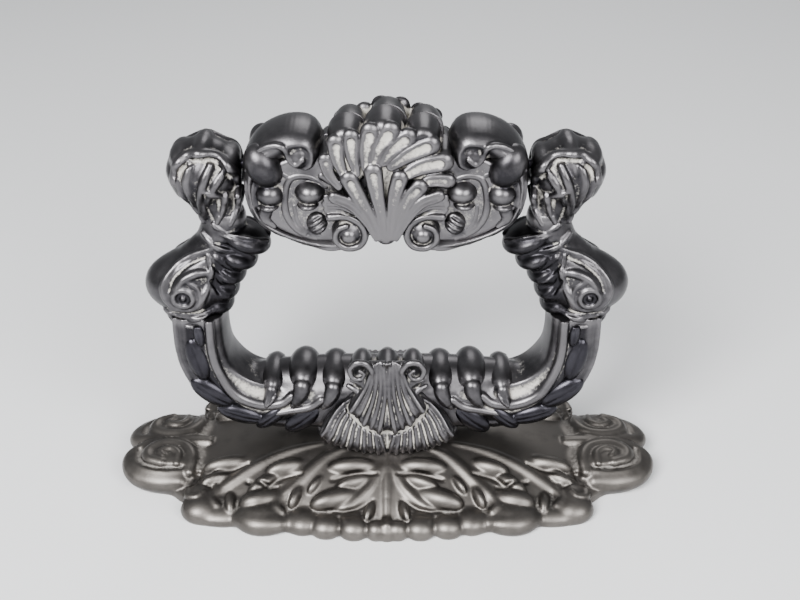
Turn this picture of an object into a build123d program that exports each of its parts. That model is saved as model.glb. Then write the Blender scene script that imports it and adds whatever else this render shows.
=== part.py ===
from build123d import *
import os

# Lifting handle of a large silver-plated dish cover: a cast loop of two dolphins, a shell
# crest and a gadrooned bow, soldered together on a hollow leafage base. Millimetres, +Z up,
# front towards -Y. Origin on the resting plane, under the centre. Left and right mirror.

# driving dimensions
HANDLE_TOP = 109.5
BASE_TOP = 13.5  # flat saddle that the foot and the lower shells stand on
RIM_HEIGHT = 3.0
ROOF = 11.5  # ceiling of the hollow under the base
BOW_FLOOR = 16.5
BOW_TOP = 33.5
BOW_HALF_DEPTH = 8.5
REAR_SHELL_TOP = 31.0
ARM_TOP = 50.5
ARM_INNER = 45.4
ARM_OUTER = 57.8
CREST_BAR_HALF_DEPTH = 6.0
SCROLL_HALF_DEPTH = 9.5
SHELL_HALF_DEPTH = 11.5
WAIST = 78.0  # height where a dolphin's body passes into its tail

# fixing hardware: 3/16 inch studs
STUD_SPACING = 44.0
STUD_RADIUS = 2.38
STUD_TIP = 0.6
POINT_RADIUS = 1.9
POINT_TOP = 3.0
STRAP_THICKNESS = 2.0
WASHER_RADIUS = 6.0
WASHER_THICKNESS = 1.0
RUNNING_CLEARANCE = 0.06
SEAT_GAP = 0.1
NUT_HEIGHT = 4.6
NUT_RADIUS = 3.9
WING_SPAN = 17.0
WING_THICKNESS = 1.8

# scroll and lobe bosses of the base, one quarter: centre x, centre y, radius, height
BASE_BOSSES = {
    "end scroll": (63.0, 6.5, 12.0, 9.5),
    "small scroll": (50.5, 20.5, 7.0, 8.0),
    "rolled lobe": (33.5, 25.2, 7.6, 6.5),
    "inner lobe": (20.5, 26.5, 6.6, 6.0),
    "middle lobe": (7.5, 26.5, 8.5, 6.5),
}
# gadroon beads of one side: centre x, half width, top height
GADROONS = [(31.2, 4.2, 37.0), (22.8, 5.2, 39.0), (14.3, 4.5, 38.2)]
# crest scroll of one side, as three overlapping rounds: centre x, centre z, radius
CREST_ROUNDS = [(23.0, 93.0, 12.2), (25.2, 86.0, 9.4), (14.0, 84.5, 11.3)]
SCROLL_BAND = 4.5
# bosses on the crest face of one side: x, z, radius
CREST_BULBS = [(25.2, 95.2, 3.6), (26.4, 87.2, 3.0), (18.8, 88.5, 3.8), (17.0, 82.4, 2.3)]
# laurel leaves on the bow face of one side: x, z, length, width, angle
LEAVES = [
    (52.6, 41.0, 13, 4.6, 82),
    (49.8, 28.8, 11, 5.0, 58),
    (40.4, 21.6, 10, 4.6, 14),
    (26.0, 21.4, 9, 5.4, 38),
]
# dolphin, mouth upwards: height, centre x, half width, half depth
DOLPHIN = [
    (ARM_TOP, 51.2, 7.4, 7.8),
    (54.5, 50.0, 8.8, 9.4),
    (60.5, 50.4, 12.2, 10.4),
    (66.5, 46.4, 12.6, 10.0),
    (72.0, 40.6, 10.8, 8.8),
    (WAIST, 40.8, 6.0, 6.6),
]
TAIL = [
    (WAIST, 40.8, 6.0, 6.6),
    (84.0, 43.2, 7.6, 8.0),
    (91.5, 44.8, 9.3, 9.4),
    (97.5, 45.0, 7.8, 8.4),
    (100.8, 45.2, 3.0, 3.6),
]

STANDING = (Align.CENTER, Align.CENTER, Align.MIN)  # made upwards from the bottom centre


def mirror_x(shape):
    return mirror(shape, about=Plane.YZ)


def mirror_y(shape):
    return mirror(shape, about=Plane.XZ)


def slab(sketch, front, back):
    """A sketch drawn on XZ, made solid from y = front to y = back."""
    return Pos(0, back, 0) * extrude(Plane.XZ * sketch, back - front)


def upright(sketch, half_depth):
    return slab(sketch, -half_depth, half_depth)


def disc(x, z, radius):
    return Pos(x, z) * Circle(radius)


def stack(sections):
    """A solid lofted through upright ellipses: height, centre x, half width, half depth."""
    return loft([Pos(x, 0, z) * Ellipse(a, b) for z, x, a, b in sections])


def all_quarters(x, y):
    return [(x, y), (-x, y), (x, -y), (-x, -y)]


# ---- base ----


def base_outline():
    outline = Ellipse(60, 26)
    for x, y, radius, _ in BASE_BOSSES.values():
        for place in all_quarters(x, y):
            outline += Pos(*place) * Circle(radius)
    return outline


def base_hollow():
    floor = Pos(0, 0, -0.01) * Ellipse(57, 24.5)
    roof = Pos(0, 0, ROOF) * Ellipse(36, 12)
    return loft([floor, roof])


def base_plate():
    plate = extrude(base_outline(), RIM_HEIGHT)
    skirt = Pos(0, 0, RIM_HEIGHT - 0.1) * Ellipse(60, 26)
    saddle = Pos(0, 0, BASE_TOP) * Ellipse(39, 14.5)
    plate += loft([skirt, saddle])
    for x, y, radius, height in BASE_BOSSES.values():
        for place in all_quarters(x, y):
            boss = Cone(radius, radius - 3.2, height - 1, align=STANDING)
            plate += Pos(*place, 1) * boss
    return plate - base_hollow()


def stud_places():
    return [-STUD_SPACING / 2, STUD_SPACING / 2]


def backing_strap():
    strap = extrude(SlotOverall(STUD_SPACING + 12, 12), STRAP_THICKNESS)
    strap = Pos(0, 0, ROOF - STRAP_THICKNESS) * strap
    for x in stud_places():
        strap -= stud(x)
    return strap


def rod(x, radius, low, high):
    return Pos(x, 0, low) * Cylinder(radius, high - low, align=STANDING)


def stud(x):
    return rod(x, STUD_RADIUS, POINT_TOP, ROOF) + rod(x, POINT_RADIUS, STUD_TIP, POINT_TOP)


def washer(x):
    top = ROOF - STRAP_THICKNESS - SEAT_GAP
    low = top - WASHER_THICKNESS
    return rod(x, WASHER_RADIUS, low, top) - rod(x, STUD_RADIUS + RUNNING_CLEARANCE, low, top)


def wing_nut(x):
    top = ROOF - STRAP_THICKNESS - WASHER_THICKNESS - 2 * SEAT_GAP
    low = top - NUT_HEIGHT
    hub = Pos(x, 0, low) * Cone(NUT_RADIUS - 0.7, NUT_RADIUS, NUT_HEIGHT, align=STANDING)
    wing = Box(WING_SPAN, WING_THICKNESS, NUT_HEIGHT - 1.0)
    wing = fillet(wing.edges().filter_by(Axis.Y), 1.5)
    nut = hub + Pos(x, 0, low + (NUT_HEIGHT - 1.0) / 2) * wing
    return nut - rod(x, STUD_RADIUS + RUNNING_CLEARANCE, low - 1, top + 1)


def foot():
    """Moulded plinth between the base and the bow."""
    lower = Pos(0, 0, BASE_TOP) * Ellipse(25, 8.4)
    upper = Pos(0, 0, BOW_FLOOR) * Ellipse(22, 7.6)
    plinth = loft([lower, upper])
    for x in (-12, 12):
        plinth -= rod(x, 1.5, BASE_TOP, BOW_FLOOR)
    return plinth


def foot_pegs():
    return Compound([rod(x, 1.5, BASE_TOP, BOW_FLOOR + 5) for x in (-12, 12)])


# ---- bow ----


def bow():
    """U-shaped casting: two arms joined by a deep curved bar."""
    arm_right = (ARM_OUTER, ARM_TOP)
    low_right = (45.0, 21.0)
    arm_bend = (ARM_INNER, 43.5)
    corner = (37.0, BOW_TOP)
    floor_right = (22.0, BOW_FLOOR)
    with BuildSketch() as face:
        with BuildLine():
            Line((0, BOW_FLOOR), floor_right)
            ThreePointArc(floor_right, (34.5, 17.3), low_right)
            ThreePointArc(low_right, (55.4, 33.0), arm_right)
            Line(arm_right, (ARM_INNER, ARM_TOP))
            Line((ARM_INNER, ARM_TOP), arm_bend)
            ThreePointArc(arm_bend, (43.0, 36.6), corner)
            Line(corner, (0, BOW_TOP))
            Line((0, BOW_TOP), (0, BOW_FLOOR))
        make_face()
        mirror(about=Plane.YZ)
    body = upright(face.sketch, BOW_HALF_DEPTH)
    body -= foot_pegs()
    return body - mouth_peg() - mirror_x(mouth_peg())


def mouth_peg():
    """Locating peg between a bow arm and the dolphin that bites it."""
    return rod(51.5, 2.0, ARM_TOP - 7, ARM_TOP + 7)


def gadroons(bow_body):
    """Egg-shaped beads that straddle the top of the bow, each a saddle."""
    beads = []
    for x, half_width, top in GADROONS:
        egg = scale(Sphere(1), by=(half_width, SHELL_HALF_DEPTH, 8.0))
        beads.append((Pos(x, 0, top - 8.0) * egg) - bow_body)
    return Compound([bead.solids().sort_by(SortBy.VOLUME)[-1] for bead in beads])


def lower_shell():
    """Fluted fan on the face of the bow, from its top to the base."""
    with BuildSketch() as fan:
        with BuildLine():
            Line((0, 41.0), (2.6, 41.0))
            Line((2.6, 41.0), (4.2, 36.0))
            Line((4.2, 36.0), (11.0, 27.0))
            Line((11.0, 27.0), (17.2, 18.0))
            ThreePointArc((17.2, 18.0), (9.0, 14.9), (0, BASE_TOP + 0.4))
            Line((0, BASE_TOP + 0.4), (0, 41.0))
        make_face()
        mirror(about=Plane.YZ)
    small_scrolls = disc(6.8, 38.0, 3.8) + disc(-6.8, 38.0, 3.8)
    return slab(fan.sketch + small_scrolls, -12.5, -BOW_HALF_DEPTH)


def lower_shell_rear(shell):
    """The rear shell stops lower, under the line of the beads, and has no small scrolls."""
    upper_part = Pos(0, 0, REAR_SHELL_TOP + 10) * Box(50, 50, 20)
    return mirror_y(shell) - upper_part


def leaf(x, z, length, width, angle):
    """Pointed leaf outline: two round arcs meeting at its tips."""
    radius = (length**2 + width**2) / (4 * width)
    offset = radius - width / 2
    shape = (Pos(0, offset) * Circle(radius)) & (Pos(0, -offset) * Circle(radius))
    return Pos(x, z) * Rot(0, 0, angle) * shape


def bow_leaves():
    """Laurel leaves applied to both faces of one side of the bow."""
    front = [slab(leaf(*place), -BOW_HALF_DEPTH - 1.6, -BOW_HALF_DEPTH) for place in LEAVES]
    return Compound(front + [mirror_y(one) for one in front])


# ---- dolphins ----


def crest_rounds(shrink):
    outline = Sketch()
    for x, z, radius in CREST_ROUNDS:
        outline += disc(x, z, radius - shrink)
    return outline


def dolphin(scroll):
    body = stack(DOLPHIN) - mouth_peg() - scroll
    return body.solids().sort_by(SortBy.VOLUME)[-1]


def tail(scroll):
    body = stack(TAIL) - tail_pin() - scroll
    return body.solids().sort_by(SortBy.VOLUME)[-1]


def tail_pin():
    """Dowel from the crest scroll into the dolphin's tail."""
    return Pos(35.5, 0, 93.5) * Rot(0, 90, 0) * Cylinder(1.2, 7)


# ---- crest ----


def crest_fan():
    """Shell outline: five scallops round a fan that narrows to a knob."""
    with BuildSketch() as fan:
        with BuildLine():
            Polyline((0, 76.2), (2.4, 76.4), (3.0, 79.5), (12.5, 91.0))
            Polyline((12.5, 91.0), (15.4, 99.0), (12.0, 102.0), (0, 103.0))
            Line((0, 103.0), (0, 76.2))
        make_face()
        mirror(about=Plane.YZ)
    scallops = fan.sketch + disc(0, HANDLE_TOP - 6, 6)
    for x in (-9.2, 9.2):
        scallops += disc(x, 101.3, 6.0)
    return scallops


def crest_web():
    """Flat bar behind the shells, wide enough to reach the inside of both scrolls."""
    return Pos(0, 88.0) * Rectangle(31, 18)


def crest_bar():
    inner = crest_rounds(SCROLL_BAND)
    outline = crest_web() + inner + mirror(inner, about=Plane.YZ)
    return upright(outline, CREST_BAR_HALF_DEPTH)


def crest_scroll():
    """C-scroll of the right side, open towards the shell."""
    band = crest_rounds(0) - crest_rounds(SCROLL_BAND) - crest_web() - crest_fan()
    largest = band.faces().sort_by(SortBy.AREA)[-1]
    return upright(Sketch() + largest, SCROLL_HALF_DEPTH) - tail_pin()


def crest_shell(bar):
    """Front shell; its scalloped rim rolls back over the top to the middle plane."""
    shell = slab(crest_fan(), -SHELL_HALF_DEPTH, 0) - bar
    return shell.solids().sort_by(SortBy.VOLUME)[-1]


def crest_bulbs():
    """Rounded bosses on both faces inside one scroll."""
    bulbs = []
    for x, z, radius in CREST_BULBS:
        dome = Rot(90, 0, 0) * Sphere(radius, arc_size1=0, align=STANDING)
        bulbs.append(Pos(x, -CREST_BAR_HALF_DEPTH, z) * dome)
    return Compound(bulbs + [mirror_y(bulb) for bulb in bulbs])


def volutes(bar, scroll, shell):
    """Spiral eyes at the foot of one scroll, front and back."""
    eye = slab(disc(9.2, 78.6, 4.6), -SCROLL_HALF_DEPTH - 1.8, -CREST_BAR_HALF_DEPTH)
    eye = (eye - bar - scroll - shell).solids().sort_by(SortBy.VOLUME)[-1]
    return Compound([eye, mirror_y(eye)])


# ---- assembly ----


def build():
    nodes = {}
    for side, x in zip(("left", "right"), stud_places()):
        nodes[f"{side}_stud"] = stud(x)
        nodes[f"{side}_washer"] = washer(x)
        nodes[f"{side}_wing_nut"] = wing_nut(x)
    nodes["base_plate"] = base_plate()
    nodes["backing_strap"] = backing_strap()
    nodes["foot"] = foot()
    nodes["foot_pegs"] = foot_pegs()
    bow_body = bow()
    nodes["bow"] = bow_body
    shell = lower_shell()
    nodes["lower_shell_front"] = shell
    nodes["lower_shell_rear"] = lower_shell_rear(shell)
    bar, scroll = crest_bar(), crest_scroll()
    nodes["crest_bar"] = bar
    crest = crest_shell(bar)
    nodes["crest_shell_front"] = crest
    nodes["crest_shell_rear"] = mirror_y(crest)
    right = {
        "gadroons": gadroons(bow_body),
        "bow_leaves": bow_leaves(),
        "mouth_peg": mouth_peg(),
        "dolphin": dolphin(scroll),
        "dolphin_tail": tail(scroll),
        "tail_pin": tail_pin(),
        "crest_scroll": scroll,
        "crest_bulbs": crest_bulbs(),
        "volutes": volutes(bar, scroll, crest),
    }
    for name, shape in right.items():
        nodes[f"right_{name}"] = shape
        nodes[f"left_{name}"] = mirror_x(shape)
    return nodes


os.makedirs("parts", exist_ok=True)
for name, shape in build().items():
    export_step(shape, f"parts/{name}.step")
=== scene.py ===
import math

import bpy
import numpy as np
import openvdb
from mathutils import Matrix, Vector


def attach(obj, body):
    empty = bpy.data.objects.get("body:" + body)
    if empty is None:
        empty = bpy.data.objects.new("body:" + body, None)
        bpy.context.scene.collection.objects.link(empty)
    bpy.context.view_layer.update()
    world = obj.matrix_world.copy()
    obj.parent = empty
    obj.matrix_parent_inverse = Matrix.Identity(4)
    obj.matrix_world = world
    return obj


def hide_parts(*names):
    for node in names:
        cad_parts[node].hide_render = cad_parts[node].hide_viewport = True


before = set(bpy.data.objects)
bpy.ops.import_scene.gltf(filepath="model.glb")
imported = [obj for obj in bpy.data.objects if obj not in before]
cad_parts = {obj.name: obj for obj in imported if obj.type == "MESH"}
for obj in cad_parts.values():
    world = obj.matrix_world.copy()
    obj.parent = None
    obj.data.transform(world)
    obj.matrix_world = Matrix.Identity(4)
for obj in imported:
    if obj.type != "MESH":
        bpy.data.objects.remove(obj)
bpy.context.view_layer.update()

# ---- Base plate ----
# One hollow casting in silver-plated nickel silver, an oval of acanthus leaves that end in scrolls
# and rolled lobes. The pattern was built up in wax, so a block of wax holds a quarter of it here:
# coils and domes are laid on, and lines are pressed in. Sizes are in mm, and +y is outwards.

EMPTY = 4.0  # distance kept where there is no wax near
THINNEST_COIL = 0.12
MM_PER_METRE = 1000


def wax_block(reach, step=0.36, low=(0, 0, 0)):
    """An empty block of wax, kept as the distance from each of its points to the skin."""
    axes = [np.arange(a, b + step, step, dtype=np.float32) for a, b in zip(low, reach)]
    size = [len(axis) for axis in axes]
    skin = np.full(size, EMPTY, np.float32)
    polish_and_painted_shade = np.zeros(size, np.float32)
    return {"axes": axes, "step": step, "skin": skin, "polish_and_painted_shade": polish_and_painted_shade}


def region(block, low, high):
    """The slices of a block that lie inside a box, and the coordinates there."""
    cut = tuple(
        slice(int(np.searchsorted(axis, a)), int(np.searchsorted(axis, b, side="right")))
        for axis, a, b in zip(block["axes"], low, high)
    )
    places = [axis[c] for axis, c in zip(block["axes"], cut)]
    return cut, np.meshgrid(*places, indexing="ij", sparse=True)


def merge(a, b, soften):
    """The skin of two lumps pushed together, with the corner between them filled by a thumb."""
    if soften <= 0:
        return np.minimum(a, b)
    h = np.clip(0.5 + 0.5 * (b - a) / soften, 0, 1)
    return b + (a - b) * h - soften * h * (1 - h)


def work(block, cut, lump, soften, press):
    """Add a lump to the wax, or press it in and take it out again."""
    old = block["skin"][cut]
    block["skin"][cut] = -merge(-old, lump, soften) if press else merge(old, lump, soften)


def flow(points, spacing=0.7):
    """A smooth line through given points. The last number of each is a radius."""
    p = np.array(points, float)
    p = np.vstack([2 * p[0] - p[1], p, 2 * p[-1] - p[-2]])
    line = []
    for a, b, c, d in zip(p, p[1:], p[2:], p[3:]):
        count = max(2, int(np.linalg.norm((c - b)[:-1]) / spacing))
        t = np.linspace(0, 1, count, endpoint=False)[:, None]
        bend = (2 * a - 5 * b + 4 * c - d) * t**2 + (3 * b - a - 3 * c + d) * t**3
        line.append(0.5 * (2 * b + (c - a) * t + bend))
    line = np.vstack(line + [p[-2:-1]])
    line[:, -1] = np.maximum(line[:, -1], THINNEST_COIL)
    return line


def coil_lump(block, line, reach, flat=1.0):
    """A coil rolled along a line of x, y, z and radius, and pressed flat that much from the front:
    where it lies, and its distances."""
    low = (line[:, :3] - line[:, 3:]).min(0) - reach
    high = (line[:, :3] + line[:, 3:]).max(0) + reach
    cut = region(block, low, high)[0]
    lump = np.full(block["skin"][cut].shape, EMPTY, np.float32)
    sides = [axis[c] for axis, c in zip(block["axes"], cut)]
    for a, b in zip(line, line[1:]):
        edge = max(a[3], b[3]) + reach
        small = tuple(
            slice(int(np.searchsorted(s, min(p, q) - edge)), int(np.searchsorted(s, max(p, q) + edge)))
            for s, p, q in zip(sides, a[:3], b[:3])
        )
        x, y, z = np.meshgrid(*[s[c] for s, c in zip(sides, small)], indexing="ij", sparse=True)
        y = a[1] + (y - a[1]) * flat
        run = (b[:3] - a[:3]) * (1, flat, 1)
        t = ((x - a[0]) * run[0] + (y - a[1]) * run[1] + (z - a[2]) * run[2]) / max(float(run @ run), 1e-6)
        t = np.clip(t, 0, 1)
        away = (x - a[0] - run[0] * t) ** 2 + (y - a[1] - run[1] * t) ** 2 + (z - a[2] - run[2] * t) ** 2
        lump[small] = np.minimum(lump[small], np.sqrt(away) - (a[3] + (b[3] - a[3]) * t))
    return cut, lump


def coil(block, points, soften=0.7, press=False, flat=1.0):
    """Lay a coil of wax along points of x, y, z and radius."""
    cut, lump = coil_lump(block, flow(points), 1.0 + soften, flat)
    work(block, cut, lump, soften, press)


def dome(block, centre, size, soften=0.8, press=False, turn=0.0, about=1):
    """Set an egg of wax on the block, turned about its x, y or z axis (0, 1, 2), or press one in."""
    reach = max(size) + 1.0 + soften
    cut, place = region(block, np.array(centre) - reach, np.array(centre) + reach)
    place = [p - c for p, c in zip(place, centre)]
    c, s = math.cos(math.radians(turn)), math.sin(math.radians(turn))
    u, v = {0: (1, 2), 1: (0, 2), 2: (0, 1)}[about]
    place[u], place[v] = c * place[u] + s * place[v], c * place[v] - s * place[u]
    k = np.sqrt(sum((p / r) ** 2 for p, r in zip(place, size)))
    slope = np.sqrt(sum((p / r**2) ** 2 for p, r in zip(place, size)))
    work(block, cut, (k * (k - 1) / np.maximum(slope, 1e-3)).astype(np.float32), soften, press)


def face_height(block, along, u, v):
    """How far out the skin is along one axis, at points given by the other two."""
    skin = np.moveaxis(block["skin"], along, -1)
    across = [block["axes"][i] for i in range(3) if i != along]
    i = np.clip(np.rint((u - across[0][0]) / block["step"]).astype(int), 0, skin.shape[0] - 1)
    j = np.clip(np.rint((v - across[1][0]) / block["step"]).astype(int), 0, skin.shape[1] - 1)
    columns = skin[i, j]
    inside = columns < 0
    last = columns.shape[1] - 1 - np.argmax(inside[:, ::-1], axis=1)
    last = np.minimum(last, columns.shape[1] - 2)
    rows = np.arange(len(u))
    a, b = columns[rows, last], columns[rows, last + 1]
    height = block["axes"][along][last] + block["step"] * np.clip(a / np.minimum(a - b, -1e-3), 0, 1)
    found = inside.any(axis=1)
    if not found.any():
        return np.zeros(len(u))
    height = np.where(found, height, np.median(height[found]))
    kernel = np.array([1, 2, 3, 2, 1]) / 9
    return np.convolve(np.pad(height, 2, mode="edge"), kernel, mode="valid")


def draw(block, points, along=1, sink=0.3, soften=0.45, press=False):
    """Lay a thin coil on the face of the wax along a drawn line, or press a groove into it.
    Each point is two places on the face and a radius; sink is how far the coil is bedded in."""
    flat = flow(points, 0.6)
    height = face_height(block, along, flat[:, 0], flat[:, 1])
    height = height + (sink if press else -sink) * flat[:, 2]
    line = np.insert(flat, along, height, axis=1)
    cut, lump = coil_lump(block, line, 1.0 + soften)
    work(block, cut, lump, soften, press)


def groove(block, points, along=1, sink=0.35, soften=0.35):
    draw(block, points, along, sink, soften, press=True)


def smear(block, points, amount=0.6):
    """Leave dried polish along a line of x, y, z and radius, to show as pale once it is cast. A
    negative amount paints the place darker; between the dolphins' fins that is painted shade."""
    cut, lump = coil_lump(block, flow(points, 1.2), 1.0)
    paint, old = amount * np.clip(0.6 - lump, 0, 1), block["polish_and_painted_shade"][cut]
    block["polish_and_painted_shade"][cut] = np.where(np.abs(paint) > np.abs(old), paint, old)


def blurred(skin, passes):
    for _ in range(passes):
        for axis in range(3):
            swung = np.moveaxis(skin, axis, 0)
            mean = swung.copy()
            mean[1:-1] = (swung[:-2] + swung[1:-1] + swung[2:]) / 3
            skin = np.moveaxis(mean, 0, axis)
    return skin


def sampled(field, points):
    """A field's value at points given in steps of its grid."""
    base = np.clip(np.floor(points).astype(int), 0, np.array(field.shape) - 2)
    t = points - base
    value = np.zeros(len(points))
    for corner in range(8):
        d = np.array([corner & 1, corner >> 1 & 1, corner >> 2 & 1])
        weight = np.prod(np.where(d, t, 1 - t), axis=1)
        i = base + d
        value += weight * field[i[:, 0], i[:, 1], i[:, 2]]
    return value


def cast(block, name, across=(0, 1), flip=(1, 1, 1)):
    """Cast the wax in metal: mirror the block across its flat sides and mesh the skin. Each point
    keeps its polish and painted shade, and how deep it lies in a hollow, or how far it stands out
    (negative)."""
    skin, polish_and_painted_shade, low = block["skin"], block["polish_and_painted_shade"], [float(a[0]) for a in block["axes"]]
    for axis in across:
        mirrored = [np.moveaxis(field, axis, 0) for field in (skin, polish_and_painted_shade)]
        skin, polish_and_painted_shade = [np.moveaxis(np.concatenate([f[:0:-1], f]), 0, axis) for f in mirrored]
        low[axis] = -float(block["axes"][axis][-1])
    skin = np.pad(skin, 1, constant_values=EMPTY)
    polish_and_painted_shade = np.pad(polish_and_painted_shade, 1)
    grid = openvdb.FloatGrid()
    grid.copyFromArray(np.ascontiguousarray(skin))
    points, quads = grid.convertToQuads(isovalue=0.0)
    near, wide = blurred(skin, 3), blurred(skin[::2, ::2, ::2], 5)
    hollow = -(0.5 * sampled(near, points) + 0.5 * sampled(wide, points / 2)) / block["step"]
    places = ((points - 1) * block["step"] + np.array(low)) * np.array(flip) / MM_PER_METRE
    mesh = bpy.data.meshes.new(name)
    mesh.vertices.add(len(places))
    mesh.vertices.foreach_set("co", places.astype(np.float32).ravel())
    turn = 1 if flip[0] * flip[1] * flip[2] > 0 else -1
    quads = quads[:, ::turn]
    mesh.loops.add(quads.size)
    mesh.loops.foreach_set("vertex_index", quads.astype(np.int32).ravel())
    mesh.polygons.add(len(quads))
    mesh.polygons.foreach_set("loop_start", np.arange(0, quads.size, 4, dtype=np.int32))
    for field, values in (("hollow", hollow), ("polish_and_painted_shade", sampled(polish_and_painted_shade, points))):
        mesh.attributes.new(field, "FLOAT", "POINT").data.foreach_set("value", values.astype(np.float32))
    mesh.update()
    mesh.validate()
    mesh.shade_smooth()
    piece = bpy.data.objects.new(name, mesh)
    bpy.context.collection.objects.link(piece)
    return piece


def fit(piece, material, slot, *nodes):
    """Give a casting its metal and put it in the place of its CAD nodes."""
    piece.data.materials.append(material)
    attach(piece, "root")
    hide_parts(*nodes)
    return piece


def linear(hex_colour):
    channels = [int(hex_colour[i : i + 2], 16) / 255 for i in (0, 2, 4)]
    return (*[c / 12.92 if c <= 0.04045 else ((c + 0.055) / 1.055) ** 2.4 for c in channels], 1.0)


def node(tree, kind, settings=(), links=()):
    """Add a node with its settings; links are input name or number, and the socket that feeds it."""
    made = tree.nodes.new(kind)
    for key, value in dict(settings).items():
        if hasattr(made, str(key)):
            setattr(made, key, value)
        else:
            made.inputs[key].default_value = value
    for key, source in dict(links).items():
        tree.links.new(source, made.inputs[key])
    return made


def tarnished_silver_with_painted_light(name, high, low, residue, gloss, residue_amount):
    """Silver plate left to blacken and polished over again: bright grey metal on the edges, partly
    rubbed and partly painted highlight, painted shade on the faces that point down, sulphide in
    blotches on the rest, and dried pale polish packed in the hollows."""
    material = bpy.data.materials.new(name)
    material.use_nodes = True
    tree = material.node_tree
    surface = tree.nodes["Principled BSDF"]
    place = node(tree, "ShaderNodeTexCoord").outputs["Object"]
    hollow = node(tree, "ShaderNodeAttribute", {"attribute_name": "hollow"}).outputs["Fac"]
    polish_and_painted_shade = node(tree, "ShaderNodeAttribute", {"attribute_name": "polish_and_painted_shade"}).outputs["Fac"]
    # sizes of the blotches of sulphide and of the speckle of polish
    blotch_mm, speckle_mm = 6, 0.9
    blotch = node(
        tree, "ShaderNodeTexNoise", {"Scale": MM_PER_METRE / blotch_mm, "Detail": 5.0, "Roughness": 0.6},
        {"Vector": place},
    )
    speckle = node(
        tree, "ShaderNodeTexNoise", {"Scale": MM_PER_METRE / speckle_mm, "Detail": 3.0, "Roughness": 0.7},
        {"Vector": place},
    )
    # the edges are painted brighter, partly rubbed by the cloth and partly as painted highlight, and the
    # hollows darker with the tarnish the cloth leaves there
    wear_and_painted_light = node(tree, "ShaderNodeMath", {"operation": "MULTIPLY_ADD", 1: -0.3},
                  {0: hollow, 2: blotch.outputs[0]})
    # painted shade: faces that point down are painted darker and faces that point up lighter
    facing = node(tree, "ShaderNodeSeparateXYZ", (),
                  {0: node(tree, "ShaderNodeNewGeometry").outputs["Normal"]})
    wear_and_painted_light = node(
        tree, "ShaderNodeMath", {"operation": "MULTIPLY_ADD", 1: 0.3},
        {0: facing.outputs[2], 2: wear_and_painted_light.outputs[0]},
    )
    # polish marks brighten the metal; negative marks paint it darker, which between the dolphins' fins is
    # painted shade
    wear_and_painted_light = node(tree, "ShaderNodeMath", {"operation": "MULTIPLY_ADD", 1: 0.5},
                  {0: polish_and_painted_shade, 2: wear_and_painted_light.outputs[0]})
    metal = node(
        tree, "ShaderNodeMix", {"data_type": "RGBA", 6: linear(low), 7: linear(high)},
        {0: node(tree, "ShaderNodeMapRange", {1: 0.3, 2: 0.95}, {0: wear_and_painted_light.outputs[0]}).outputs[0]},
    )
    # dried polish lies where the hollow is deep and the speckle is strong
    packed = node(tree, "ShaderNodeMath", {"operation": "MULTIPLY_ADD", 1: 1.5},
                  {0: speckle.outputs[0], 2: hollow})
    packed = node(tree, "ShaderNodeMath", (), {0: packed.outputs[0], 1: polish_and_painted_shade})
    packed = node(tree, "ShaderNodeMapRange", {1: 1.04, 2: 1.62, 4: residue_amount}, {0: packed.outputs[0]})
    colour = node(
        tree, "ShaderNodeMix", {"data_type": "RGBA", 7: linear(residue)},
        {0: packed.outputs[0], 6: metal.outputs[2]},
    )
    tree.links.new(colour.outputs[2], surface.inputs["Base Color"])
    shine = node(tree, "ShaderNodeMapRange", {3: 1.0, 4: 0.15}, {0: packed.outputs[0]})
    tree.links.new(shine.outputs[0], surface.inputs["Metallic"])
    rough = node(tree, "ShaderNodeMath", {"operation": "MULTIPLY_ADD", 1: 0.14, 2: gloss},
                 {0: blotch.outputs[0]})
    rough = node(
        tree, "ShaderNodeMath", {"operation": "MULTIPLY_ADD", 1: 0.35},
        {0: packed.outputs[0], 2: rough.outputs[0]},
    )
    tree.links.new(rough.outputs[0], surface.inputs["Roughness"])
    bump = node(tree, "ShaderNodeBump", {"Strength": 0.12, "Distance": 0.0002},
                {"Height": speckle.outputs[0]})
    tree.links.new(bump.outputs[0], surface.inputs["Normal"])
    return material


# the base's plate is worn thin, so it's a warmer and flatter grey than the handle's
base_silver = tarnished_silver_with_painted_light("base_silver_plate", "6c6864", "3d3a38", "999590", 0.36, 0.5)

SADDLE = 13.4  # height of the dome where the foot stands
RIM = 1.6  # and at its edge
SQUARENESS = 2.5  # of the oval, where 2 is a plain ellipse
DOME_FULLNESS = 2.4
BASE_WALL = 1.9
EDGE_WALL = 3.0
# the dome's slope and the oval's edge, brought back to nearly true distances
DOME_SCALE = 0.85
EDGE_SCALE = 26


def oval(x, y, half_length, half_width):
    """1 on the outline of an oval with full corners, less inside it and more outside."""
    powers = np.abs(x / half_length) ** SQUARENESS + np.abs(y / half_width) ** SQUARENESS
    return powers ** (1 / SQUARENESS)


def base_dome(x, y):
    """Height of the plain oval dome that the leaves are laid on."""
    return RIM + (SADDLE - RIM) * np.clip(1 - oval(x, y, 68, 31) ** DOME_FULLNESS, -0.5, 1)


def pillow(block, x, y, length, width, turn, rise):
    """A rounded lobe of a leaf, half sunk in the dome."""
    bedded = 1.5
    height = float(face_height(block, 2, np.array([x]), np.array([y]))[0])
    dome(block, (x, y, height - bedded), (length / 2, width / 2, rise + bedded), 0.5, turn=turn, about=2)


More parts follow.
